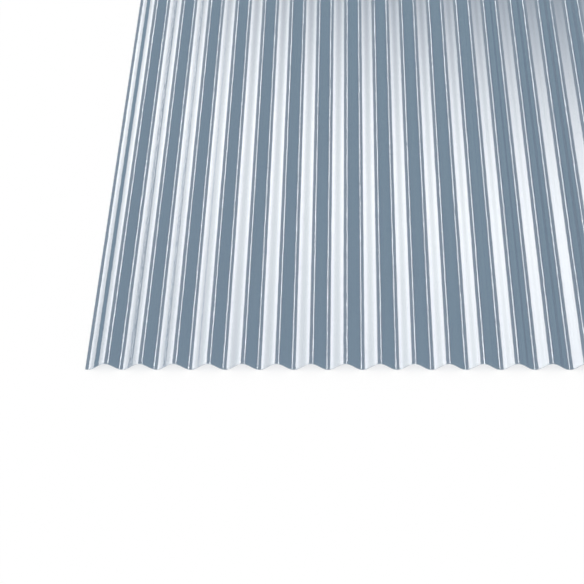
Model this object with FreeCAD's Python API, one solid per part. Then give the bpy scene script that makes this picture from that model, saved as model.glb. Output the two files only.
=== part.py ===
"""Corrugated PVC roofing sheet with a round, sine-shaped wave, extruded as one piece.

The sheet lies flat. X runs across the waves, Y along them and Z up. The origin is on the
floor, midway between the two side edges and midway between the two cut ends. The left edge
ends just past a trough and the right edge just past a crest, so that the next sheet's left
edge can lap over this sheet's right one. All sizes are in millimetres.
"""
import FreeCAD
import Part
import math
import os

# Driving dimensions
WAVE_PITCH = 76.0          # crest to crest
WAVE_DEPTH = 18.0          # trough to crest, measured on the same face
WALL = 1.2                 # sheet thickness, square to the surface
HALF_WAVES = 33            # from the first trough to the last crest
EDGE_LIP = 6.5             # what stands past the first trough and past the last crest
SHEET_LENGTH = 2000.0      # along the waves

# How finely each half wave is drawn
SPANS_PER_HALF_WAVE = 8

# What follows from them
HALF_PITCH = WAVE_PITCH / 2
SHEET_WIDTH = HALF_WAVES * HALF_PITCH + 2 * EDGE_LIP
LEFT_EDGE_X = -SHEET_WIDTH / 2
NEAR_END_Y = -SHEET_LENGTH / 2
FIRST_TROUGH_X = LEFT_EDGE_X + EDGE_LIP
TOP_FACE, BOTTOM_FACE = 1, -1
ALONG_X = FreeCAD.Vector(1, 0, 0)


def face_point(x, side):
    """The point of one face that lies square to the middle of the wall at x.

    The middle of the wall is a sine wave with a trough at the first trough. The face lies
    half a wall from it, along the wave's normal.
    """
    phase = 2 * math.pi * (x - FIRST_TROUGH_X) / WAVE_PITCH
    middle_z = WALL / 2 + WAVE_DEPTH / 2 * (1 - math.cos(phase))
    slope = math.atan(math.pi * WAVE_DEPTH / WAVE_PITCH * math.sin(phase))
    offset = side * WALL / 2
    return FreeCAD.Vector(
        x - offset * math.sin(slope),
        NEAR_END_Y,
        middle_z + offset * math.cos(slope),
    )


def half_wave(index, side):
    """The curve of one face from one turning point of the wave to the next, level at both."""
    start = FIRST_TROUGH_X + index * HALF_PITCH
    points = [
        face_point(start + HALF_PITCH * span / SPANS_PER_HALF_WAVE, side)
        for span in range(SPANS_PER_HALF_WAVE + 1)
    ]
    curve = Part.BSplineCurve()
    curve.interpolate(
        Points=points, InitialTangent=ALONG_X, FinalTangent=ALONG_X, Scale=False
    )
    return curve.toShape()


def overlong_section():
    """The wave as a flat face at the near end, with half a wave to spare at each side."""
    indices = range(-1, HALF_WAVES + 1)
    top = [half_wave(index, TOP_FACE) for index in indices]
    bottom = [half_wave(index, BOTTOM_FACE) for index in indices]
    left = Part.makeLine(bottom[0].Vertexes[0].Point, top[0].Vertexes[0].Point)
    right = Part.makeLine(bottom[-1].Vertexes[-1].Point, top[-1].Vertexes[-1].Point)
    edges = Part.__sortEdges__(top + bottom + [left, right])
    return Part.Face(Part.Wire(edges))


def corrugated_sheet():
    """The whole sheet: the section drawn out along Y, with its side edges cut upright."""
    drawn_out = overlong_section().extrude(FreeCAD.Vector(0, SHEET_LENGTH, 0))
    room = WALL
    kept = Part.makeBox(
        SHEET_WIDTH,
        SHEET_LENGTH + 2 * room,
        WAVE_DEPTH + WALL + 2 * room,
        FreeCAD.Vector(LEFT_EDGE_X, NEAR_END_Y - room, -room),
    )
    return drawn_out.common(kept).Solids[0]


os.makedirs("parts", exist_ok=True)
sheet = corrugated_sheet()
sheet.exportStep("parts/corrugated_sheet.step")
box = sheet.optimalBoundingBox(False)
print(f"corrugated_sheet: valid {sheet.isValid()}, {sheet.Volume / 1000:.1f} cm3")
print(f"size {box.XLength:.2f} x {box.YLength:.2f} x {box.ZLength:.2f} mm, base {box.ZMin:.3f}")
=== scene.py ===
"""Looks of a corrugated PVC roofing sheet: a thin tinted plastic wave that light passes through.

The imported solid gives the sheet's size and place. A smooth surface of the same section stands
for it, with broken edges and sawn ends, and lies on a pale floor under soft studio lamps.
All lengths are in metres. X runs across the waves, Y along them and Z up.
"""
import logging
import math
from dataclasses import dataclass, field
from enum import Enum

import bpy
import numpy as np
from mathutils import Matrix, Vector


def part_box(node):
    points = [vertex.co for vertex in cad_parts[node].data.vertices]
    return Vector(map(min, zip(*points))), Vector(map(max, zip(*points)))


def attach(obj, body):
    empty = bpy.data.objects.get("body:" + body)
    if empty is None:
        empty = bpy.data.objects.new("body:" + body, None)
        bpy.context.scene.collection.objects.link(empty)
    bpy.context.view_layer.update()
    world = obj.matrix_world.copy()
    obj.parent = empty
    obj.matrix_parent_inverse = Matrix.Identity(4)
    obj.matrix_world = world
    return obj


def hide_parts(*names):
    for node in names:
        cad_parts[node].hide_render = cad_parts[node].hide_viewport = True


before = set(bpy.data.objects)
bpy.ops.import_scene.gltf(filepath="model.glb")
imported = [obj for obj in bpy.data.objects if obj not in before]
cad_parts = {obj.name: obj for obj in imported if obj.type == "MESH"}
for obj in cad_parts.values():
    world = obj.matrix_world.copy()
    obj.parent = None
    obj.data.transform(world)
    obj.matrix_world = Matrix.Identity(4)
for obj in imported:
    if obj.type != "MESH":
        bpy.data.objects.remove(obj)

LOG = logging.getLogger("roofing_sheet")
CAD_NODE = "corrugated_sheet"
BODY = "root"


class Shader(Enum):
    """The node types that the finishes are made of."""

    OUTPUT = "ShaderNodeOutputMaterial"
    PRINCIPLED = "ShaderNodeBsdfPrincipled"
    CLEAR = "ShaderNodeBsdfTransparent"
    GLOSS = "ShaderNodeBsdfGlossy"
    DIFFUSE = "ShaderNodeBsdfDiffuse"
    EMIT = "ShaderNodeEmission"
    MIX = "ShaderNodeMixShader"
    FRESNEL = "ShaderNodeFresnel"
    PLACE = "ShaderNodeTexCoord"
    MAPPING = "ShaderNodeMapping"
    NOISE = "ShaderNodeTexNoise"
    RANGE = "ShaderNodeMapRange"
    MATH = "ShaderNodeMath"
    COLOUR_MIX = "ShaderNodeMix"
    BUMP = "ShaderNodeBump"
    GEOMETRY = "ShaderNodeNewGeometry"
    LIGHT_PATH = "ShaderNodeLightPath"
    SEPARATE = "ShaderNodeSeparateXYZ"


class NodeBench:
    """Makes and joins the nodes of one material."""

    def __init__(self, name: str) -> None:
        """Starts an empty node material.

        Args:
            name: the material's name.
        """
        self.material = bpy.data.materials.new(name)
        self.material.use_nodes = True
        self.tree = self.material.node_tree
        self.tree.nodes.clear()

    def add(self, kind: Shader, **inputs: object) -> bpy.types.Node:
        """Adds a node and sets or links its inputs.

        Args:
            kind: which node to add.
            inputs: each input's name, with _ for a space, and its number, colour or socket.

        Returns:
            The new node.
        """
        node = self.tree.nodes.new(kind.value)
        for name, value in inputs.items():
            self.feed(node.inputs[name.replace("_", " ")], value)
        return node

    def feed(self, socket: bpy.types.NodeSocket, value: object) -> None:
        """Links a socket into an input, or sets the input to a plain value.

        Args:
            socket: the input.
            value: an output socket, a number, or a tuple of numbers.
        """
        if isinstance(value, bpy.types.NodeSocket):
            self.tree.links.new(value, socket)
        else:
            socket.default_value = value

    def mix(self, share: object, first: bpy.types.NodeSocket,
            second: bpy.types.NodeSocket) -> bpy.types.NodeSocket:
        """Mixes two shaders.

        Args:
            share: how much of the second shows, as a socket or a number.
            first: the shader at a share of 0.
            second: the shader at a share of 1.

        Returns:
            The mixed shader's socket.
        """
        node = self.add(Shader.MIX)
        for socket, value in zip(node.inputs, (share, first, second)):
            self.feed(socket, value)
        return node.outputs[0]

    def blend(self, share: object, first: object, second: object) -> bpy.types.NodeSocket:
        """Blends two colours.

        Args:
            share: how much of the second shows, as a socket or a number.
            first: the colour at a share of 0.
            second: the colour at a share of 1.

        Returns:
            The blended colour's socket.
        """
        node = self.tree.nodes.new(Shader.COLOUR_MIX.value)
        node.data_type = "RGBA"
        sockets = [s for s in node.inputs if s.enabled]
        for socket, value in zip(sockets, (share, first, second)):
            self.feed(socket, value)
        return next(s for s in node.outputs if s.enabled)

    def work_out(self, operation: str, first: object, second: object) -> bpy.types.NodeSocket:
        """Works out one number from two.

        Args:
            operation: the sum's name, such as MULTIPLY or SUBTRACT.
            first: a socket or a number.
            second: a socket or a number.

        Returns:
            The result's socket.
        """
        node = self.add(Shader.MATH)
        node.operation = operation
        self.feed(node.inputs[0], first)
        self.feed(node.inputs[1], second)
        return node.outputs[0]

    def remap(self, value: bpy.types.NodeSocket, start: tuple[float, float],
              end: tuple[float, float] = (0.0, 1.0),
              smooth: bool = False) -> bpy.types.NodeSocket:
        """Carries a number from one range to another.

        Args:
            value: the number's socket.
            start: the range it has, low end first.
            end: the range it gets.
            smooth: whether the turn is eased at both ends.

        Returns:
            The new number's socket.
        """
        node = self.add(Shader.RANGE, Value=value, From_Min=start[0], From_Max=start[1],
                        To_Min=end[0], To_Max=end[1])
        if smooth:
            node.interpolation_type = "SMOOTHSTEP"
        return node.outputs[0]


@dataclass(frozen=True)
class Wave:
    """The sheet's section: a sine wave of even wall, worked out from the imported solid's box."""

    width: float
    length: float
    height: float
    half_waves: int = 33
    lip: float = 0.0065
    wall: float = 0.0012

    @property
    def pitch(self) -> float:
        """Crest to crest."""
        return 2 * (self.width - 2 * self.lip) / self.half_waves

    @property
    def depth(self) -> float:
        """Trough to crest on the same face."""
        return self.height - self.wall

    @property
    def first_trough(self) -> float:
        """Where the first trough lies along X."""
        return self.lip - self.width / 2

    def place(self, x: np.ndarray, offset: np.ndarray) -> tuple[np.ndarray, np.ndarray]:
        """Carries points from the flat strip to the wave.

        The middle of the wall is at half the wall plus half the depth times one minus the
        cosine of the phase. A point lies its offset away from it along the wave's normal.

        Args:
            x: places along the width.
            offset: distance from the middle of the wall, positive upwards.

        Returns:
            The X and Z of each point.
        """
        phase = 2 * np.pi * (x - self.first_trough) / self.pitch
        middle = self.wall / 2 + self.depth / 2 * (1 - np.cos(phase))
        slope = np.arctan(np.pi * self.depth / self.pitch * np.sin(phase))
        across = np.clip(x - offset * np.sin(slope), -self.width / 2, self.width / 2)
        return across, middle + offset * np.cos(slope)


@dataclass(frozen=True)
class TintedPvc:
    """Clear rigid PVC with a smoke blue tint, drawn smooth by the extruder's die.

    Light passes straight through the thin wall and is tinted at each face. The outer faces
    mirror the room as the angle asks. A trace of haze catches the light, and the die leaves
    fine lines along the waves.
    """

    tint: tuple[float, float, float, float] = (0.470, 0.538, 0.606, 1.0)
    deep_tint: tuple[float, float, float, float] = (0.465, 0.533, 0.601, 1.0)
    haze_colour: tuple[float, float, float, float] = (0.50, 0.56, 0.60, 1.0)
    haze: float = 0.02
    gloss: float = 0.018
    dull_gloss: float = 0.04
    reflection_ior: float = 1.56
    line_spacing: float = 0.0016
    line_length: float = 3.0
    line_height: float = 0.0000012
    broad_spacing: float = 0.0144
    broad_length: float = 9.0
    cloud_size: float = 0.35
    tint_range: tuple[float, float] = (0.1, 0.4)
    cloud_range: tuple[float, float] = (0.35, 0.75)

    def streaks(self, bench: NodeBench, spacing: float, length: float) -> bpy.types.NodeSocket:
        """Noise drawn out along the waves.

        Args:
            bench: the material's bench.
            spacing: how far apart the lines lie across the waves.
            length: how long a line keeps its strength.

        Returns:
            A number from 0 to 1.
        """
        place = bench.add(Shader.PLACE)
        stretch = bench.add(Shader.MAPPING, Vector=place.outputs["Object"],
                            Scale=(1 / spacing, 1 / length, 0))
        noise = bench.add(Shader.NOISE, Vector=stretch.outputs[0], Scale=1.0, Detail=3.0)
        return noise.outputs["Fac"]

    def clouds(self, bench: NodeBench) -> bpy.types.NodeSocket:
        """Slow changes over the sheet, where the melt was a little thicker or thinner.

        Args:
            bench: the material's bench.

        Returns:
            A number from 0 to 1.
        """
        place = bench.add(Shader.PLACE)
        noise = bench.add(Shader.NOISE, Vector=place.outputs["Object"],
                          Scale=1 / self.cloud_size, Detail=2.0)
        return noise.outputs["Fac"]

    def material(self) -> bpy.types.Material:
        """Builds the finish.

        Returns:
            The node material.
        """
        bench = NodeBench("tinted_pvc")
        lines = self.streaks(bench, self.line_spacing, self.line_length)
        broad = self.streaks(bench, self.broad_spacing, self.broad_length)
        clouds = self.clouds(bench)
        relief = bench.add(Shader.BUMP, Height=lines, Strength=1.0, Distance=self.line_height)
        depth = bench.work_out("MULTIPLY", broad, clouds)
        tint = bench.blend(bench.remap(depth, self.tint_range), self.tint, self.deep_tint)
        dullness = bench.remap(clouds, self.cloud_range, (self.gloss, self.dull_gloss))
        clear = bench.add(Shader.CLEAR, Color=tint)
        milk = bench.add(Shader.DIFFUSE, Color=self.haze_colour, Normal=relief.outputs[0])
        body = bench.mix(self.haze, clear.outputs[0], milk.outputs[0])
        mirror = bench.add(Shader.GLOSS, Color=(1, 1, 1, 1), Roughness=dullness,
                           Normal=relief.outputs[0])
        fresnel = bench.add(Shader.FRESNEL, IOR=self.reflection_ior, Normal=relief.outputs[0])
        side = bench.add(Shader.GEOMETRY)
        outer = bench.work_out("SUBTRACT", 1.0, side.outputs["Backfacing"])
        shine = bench.work_out("MULTIPLY", fresnel.outputs[0], outer)
        bench.add(Shader.OUTPUT, Surface=bench.mix(shine, body, mirror.outputs[0]))
        return bench.material


@dataclass(frozen=True)
class SawnPvc:
    """The same plastic where the saw left it matt, with fine marks along the cut."""

    colour: tuple[float, float, float, float] = (0.33, 0.39, 0.44, 1.0)
    pale_colour: tuple[float, float, float, float] = (0.46, 0.52, 0.57, 1.0)
    roughness: float = 0.55
    mark_size: float = 0.0004

    def material(self) -> bpy.types.Material:
        """Builds the finish.

        Returns:
            The node material.
        """
        bench = NodeBench("sawn_pvc")
        place = bench.add(Shader.PLACE)
        marks = bench.add(Shader.NOISE, Vector=place.outputs["Object"],
                          Scale=1 / self.mark_size, Detail=3.0)
        relief = bench.add(Shader.BUMP, Height=marks.outputs["Fac"], Strength=0.5,
                           Distance=self.mark_size / 8)
        colour = bench.blend(marks.outputs["Fac"], self.colour, self.pale_colour)
        plastic = bench.add(Shader.PRINCIPLED, Base_Color=colour, Roughness=self.roughness,
                            IOR=1.54, Normal=relief.outputs[0])
        bench.add(Shader.OUTPUT, Surface=plastic.outputs[0])
        return bench.material


@dataclass(frozen=True)
class PaleFloor:
    """The studio's plain pale floor, which glows a little so that shadows on it stay light."""

    colour: tuple[float, float, float, float] = (0.97, 0.97, 0.97, 1.0)
    glow_share: float = 0.7

    def material(self) -> bpy.types.Material:
        """Builds the finish.

        Returns:
            The node material.
        """
        bench = NodeBench("pale_floor")
        paint = bench.add(Shader.DIFFUSE, Color=self.colour, Roughness=0.5)
        glow = bench.add(Shader.EMIT, Color=(1, 1, 1, 1), Strength=1.0)
        seen = bench.add(Shader.LIGHT_PATH)
        share = bench.work_out("MULTIPLY", seen.outputs["Is Camera Ray"], self.glow_share)
        surface = bench.mix(share, paint.outputs[0], glow.outputs[0])
        bench.add(Shader.OUTPUT, Surface=surface)
        return bench.material


@dataclass
class CorrugatedSheet:
    """The roofing sheet itself, as one closed surface."""

    wave: Wave
    finish: TintedPvc = field(default_factory=TintedPvc)
    sawn: SawnPvc = field(default_factory=SawnPvc)
    steps_per_half_wave: int = 24
    rows: int = 41
    broken_edge: float = 0.00015

    def stations(self) -> np.ndarray:
        """Places across the width where the section has a point, edges left out.

        Returns:
            The places in rising order, with every crest and trough among them.
        """
        wave = self.wave
        steps = wave.half_waves * self.steps_per_half_wave
        middle = wave.first_trough + np.arange(steps + 1) / steps * wave.half_waves * wave.pitch / 2
        lip = np.linspace(self.broken_edge, wave.lip, 5, endpoint=False)
        return np.concatenate([-wave.width / 2 + lip, middle, (wave.width / 2 - lip)[::-1]])

    def ring(self, inset: float) -> tuple[np.ndarray, np.ndarray]:
        """One turn round the section, as flat places and offsets from the middle of the wall.

        It runs along the top from left to right, down the right edge, back along the
        underside and up the left edge. The corners are cut by the broken edge.

        Args:
            inset: how far the whole turn is drawn in, as at the sawn ends.

        Returns:
            The place across the width and the offset of each point.
        """
        stations = self.stations()
        half_wall = self.wave.wall / 2 - inset
        edge = self.wave.width / 2 - inset
        shoulder = half_wall - self.broken_edge
        inner = np.clip(stations, -edge + self.broken_edge, edge - self.broken_edge)
        across = np.concatenate([inner, [edge, edge], inner[::-1], [-edge, -edge]])
        top = np.full(len(inner), half_wall)
        offset = np.concatenate([top, [shoulder, -shoulder], -top, [-shoulder, shoulder]])
        return across, offset

    def surface(self) -> tuple[np.ndarray, np.ndarray]:
        """The closed surface: the section's turn carried along the length, with two flat ends.

        Returns:
            The points, one row of turns after another, and the faces of four corners.
        """
        half = self.wave.length / 2
        inner = np.linspace(-half + self.broken_edge, half - self.broken_edge, self.rows)
        along = np.concatenate([[-half], inner, [half]])
        turns = []
        for index, y in enumerate(along):
            at_end = index in (0, len(along) - 1)
            across, offset = self.ring(self.broken_edge if at_end else 0.0)
            x, z = self.wave.place(across, offset)
            turns.append(np.column_stack([x, np.full(len(x), y), z]))
        points = np.concatenate(turns)
        count = len(turns[0])
        row, column = np.meshgrid(np.arange(len(along) - 1), np.arange(count), indexing="ij")
        here, beyond = row * count + column, row * count + (column + 1) % count
        walls = np.stack([here, beyond, beyond + count, here + count], -1).reshape(-1, 4)
        top = np.arange((count - 4) // 2 + 1)
        under = (count - 3 - top) % count
        end = np.stack([top[:-1], under[:-1], under[1:], top[1:]], -1)
        far = end[:, ::-1] + count * (len(along) - 1)
        return points, np.concatenate([walls, end, far])

    def end_face_count(self, faces: np.ndarray) -> int:
        """How many faces close one sawn end: what the rows of walls leave, halved."""
        walls = (self.rows + 1) * len(self.ring(0.0)[0])
        return (len(faces) - walls) // 2

    def build(self) -> bpy.types.Object:
        """Makes the sheet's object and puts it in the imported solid's place.

        Returns:
            The finished piece.
        """
        points, faces = self.surface()
        mesh = bpy.data.meshes.new("tinted_sheet")
        mesh.from_pydata(points.tolist(), [], faces.tolist())
        mesh.validate()
        mesh.polygons.foreach_set("use_smooth", np.ones(len(mesh.polygons), bool))
        mesh.set_sharp_from_angle(angle=math.radians(30))
        mesh.materials.append(self.finish.material())
        mesh.materials.append(self.sawn.material())
        ends = 2 * self.end_face_count(faces)
        sawn = np.arange(len(faces)) >= len(faces) - ends
        mesh.polygons.foreach_set("material_index", sawn.astype(np.int32))
        piece = bpy.data.objects.new("tinted_sheet", mesh)
        bpy.context.scene.collection.objects.link(piece)
        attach(piece, BODY)
        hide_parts(CAD_NODE)
        LOG.info("tinted_sheet: %d points, %d faces", len(mesh.vertices), len(mesh.polygons))
        return piece


@dataclass(frozen=True)
class GlowingCard:
    """A studio card that shows in glossy surfaces, with a glow that changes from edge to edge."""

    name: str
    corner: tuple[float, float, float]
    side: tuple[float, float, float]
    rise: tuple[float, float, float]
    glow_low: float
    glow_high: float
    turn_low: float = 0.0
    turn_high: float = 1.0
    fade_start: float = 1.0
    fade_end: float = 2.0
    fade_floor: float = 0.12
    colour: tuple[float, float, float, float] = (1.0, 1.0, 1.0, 1.0)

    def material(self) -> bpy.types.Material:
        """Builds the glow: low to high between two shares of the rise, fading along the side.

        Returns:
            The node material.
        """
        bench = NodeBench(self.name)
        place = bench.add(Shader.PLACE)
        ramp = bench.add(Shader.SEPARATE, Vector=place.outputs["UV"])
        glow = bench.remap(ramp.outputs["Y"], (self.turn_low, self.turn_high),
                           (self.glow_low, self.glow_high))
        fade = bench.remap(ramp.outputs["X"], (self.fade_start, self.fade_end),
                           (1.0, self.fade_floor), smooth=True)
        emit = bench.add(Shader.EMIT, Color=self.colour,
                         Strength=bench.work_out("MULTIPLY", glow, fade))
        bench.add(Shader.OUTPUT, Surface=emit.outputs[0])
        return bench.material

    def build(self) -> bpy.types.Object:
        """Hangs the card where only gloss surfaces see it, so it throws no light on the rest.

        Returns:
            The card's object.
        """
        corner, side, rise = (np.array(v) for v in (self.corner, self.side, self.rise))
        points = [corner, corner + side, corner + side + rise, corner + rise]
        mesh = bpy.data.meshes.new(self.name)
        mesh.from_pydata([tuple(p) for p in points], [], [(0, 1, 2, 3)])
        uv = mesh.uv_layers.new(name="card")
        uv.uv.foreach_set("vector", [0, 0, 1, 0, 1, 1, 0, 1])
        mesh.materials.append(self.material())
        card = bpy.data.objects.new(self.name, mesh)
        bpy.context.scene.collection.objects.link(card)
        card.visible_camera = False
        card.visible_diffuse = False
        card.visible_transmission = False
        card.visible_shadow = False
        return card


@dataclass
class Studio:
    """The pale floor, the lamps and the camera round the sheet."""

    wave: Wave
    floor_size: float = 30.0
    floor_gap: float = 0.0002
    sky: float = 1.04
    wall_glow: float = 0.6
    wall_colour: tuple[float, float, float, float] = (0.55, 0.85, 1.0, 1.0)
    walls: dict[str, tuple] = field(default_factory=lambda: {
        "right": ((3.0, -2.0, 0.0), (0, 12.0, 0), (0, 0, 4.0)),
        "left": ((-4.0, -8.0, 0.0), (0, 20.0, 0), (0, 0, 2.5)),
        "far": ((-8.0, 10.0, 0.0), (16.0, 0, 0), (0, 0, 2.0)),
        "near": ((-8.0, -8.0, 0.0), (16.0, 0, 0), (0, 0, 2.0))})
    lens: float = 110.059
    lens_shift: float = -0.03813
    stand: tuple[float, float, float] = (-0.0510, -2.7685, 2.8134)
    turn: tuple[float, float, float] = (47.0434, 0.7619, 0.7782)

    def floor(self) -> bpy.types.Object:
        """Lays the floor just under the sheet.

        Returns:
            The floor's object.
        """
        half = self.floor_size / 2
        corners = [(-half, -half), (half, -half), (half, half), (-half, half)]
        mesh = bpy.data.meshes.new("studio_floor")
        mesh.from_pydata([(x, y, -self.floor_gap) for x, y in corners], [], [(0, 1, 2, 3)])
        mesh.materials.append(PaleFloor().material())
        floor = bpy.data.objects.new("studio_floor", mesh)
        bpy.context.scene.collection.objects.link(floor)
        return floor

    def lamps(self) -> None:
        """Hangs the soft box to the left, the strip to the right and grey walls all round."""
        GlowingCard("soft_box", corner=(-1.325, -1.6, 0.155), side=(0, 6.0, 0),
                    rise=(0, 1.97, 2.06), glow_low=4.4, glow_high=10.8, turn_high=0.4,
                    fade_start=0.362, fade_end=0.778, colour=(1.0, 0.985, 0.975, 1.0)).build()
        for place, (corner, side, rise) in self.walls.items():
            GlowingCard(f"{place}_wall", corner, side, rise, self.wall_glow, self.wall_glow,
                        colour=self.wall_colour).build()
        GlowingCard("strip", corner=(0.84, -0.5, 2.6), side=(0.3, 0, 0), rise=(0, 7.0, 0),
                    glow_low=22.0, glow_high=13.0, turn_low=0.3, turn_high=0.9).build()
        world = bpy.data.worlds.new("room")
        world.use_nodes = True
        background = world.node_tree.nodes["Background"]
        background.inputs["Color"].default_value = (1, 1, 1, 1)
        background.inputs["Strength"].default_value = self.sky
        bpy.context.scene.world = world

    def camera(self) -> bpy.types.Object:
        """Sets the camera before the near end, looking down along the waves.

        Returns:
            The camera's object.
        """
        data = bpy.data.cameras.new("camera")
        data.sensor_width = 36.0
        data.lens = self.lens
        data.shift_x = self.lens_shift
        data.clip_end = 100.0
        camera = bpy.data.objects.new("camera", data)
        across, before, height = self.stand
        camera.location = (across, before - self.wave.length / 2, height)
        camera.rotation_euler = tuple(math.radians(angle) for angle in self.turn)
        bpy.context.scene.collection.objects.link(camera)
        bpy.context.scene.camera = camera
        return camera


def main() -> None:
    logging.basicConfig(level=logging.INFO, format="%(name)s: %(message)s")
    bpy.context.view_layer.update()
    low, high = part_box(CAD_NODE)
    size = high - low
    wave = Wave(width=size.x, length=size.y, height=size.z)
    LOG.info("wave: pitch %.1f mm, depth %.1f mm", wave.pitch * 1000, wave.depth * 1000)
    CorrugatedSheet(wave).build()
    studio = Studio(wave)
    studio.floor()
    studio.lamps()
    studio.camera()
    bpy.context.scene.view_settings.view_transform = "Standard"


if __name__ == "__main__":
    main()
